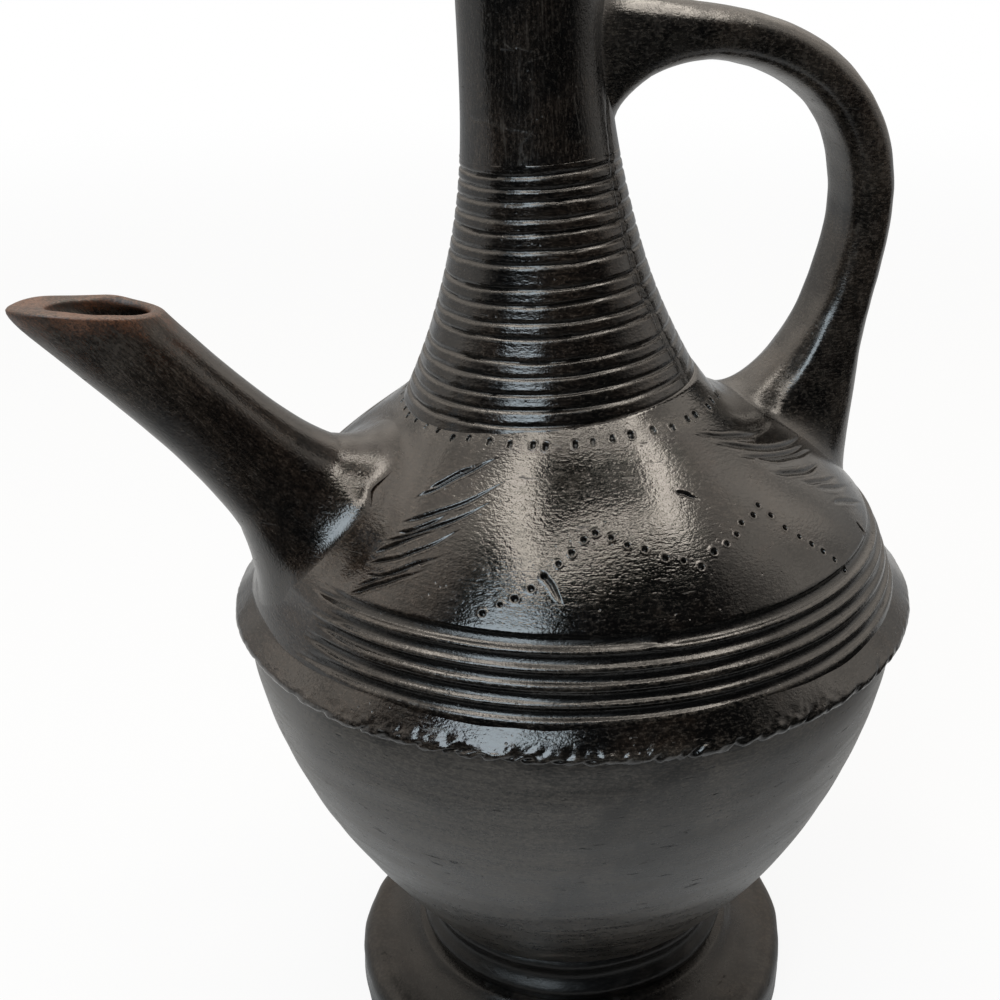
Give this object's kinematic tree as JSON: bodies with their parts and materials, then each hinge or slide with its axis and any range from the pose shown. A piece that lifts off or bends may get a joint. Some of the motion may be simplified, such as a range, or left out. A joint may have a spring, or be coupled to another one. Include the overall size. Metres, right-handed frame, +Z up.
{
  "type": "coffee pot",
  "caption": "Black burnished clay coffee pot with a ringed leaning neck, loop handle, slant-cut spout, flared foot and a straw stopper that lifts out.",
  "frame": {"origin": "middle of the ring-shaped face that the foot rests on", "axes": "+Z up out of the foot, -X towards the spout, +X towards the handle, +Y away from the viewer"},
  "size_m": [0.2188, 0.1778, 0.3402],
  "materials": {
    "burnished_clay": "satin",
    "bowl_clay": "satin",
    "foot_clay": "satin",
    "straw": "matte"
  },
  "bodies": {
    "pot": {"foot_ring": "foot_clay", "waist_coil": "foot_clay", "lower_bowl": "bowl_clay", "belly_band": "burnished_clay", "shoulder": "burnished_clay", "neck_flare": "burnished_clay", "neck_tube": "burnished_clay", "mouth_rim": "burnished_clay", "spout": "burnished_clay", "handle": "burnished_clay"},
    "stopper": {"stopper_plug": "straw", "stopper_cap": "straw", "stopper_loop": "straw"}
  },
  "joints": [
    {"name": "stopper_lift", "type": "slide", "parent": "pot", "child": "stopper", "axis": [-0.0558, 0, 0.9984], "range_m": [0, 0.08]}
  ]
}
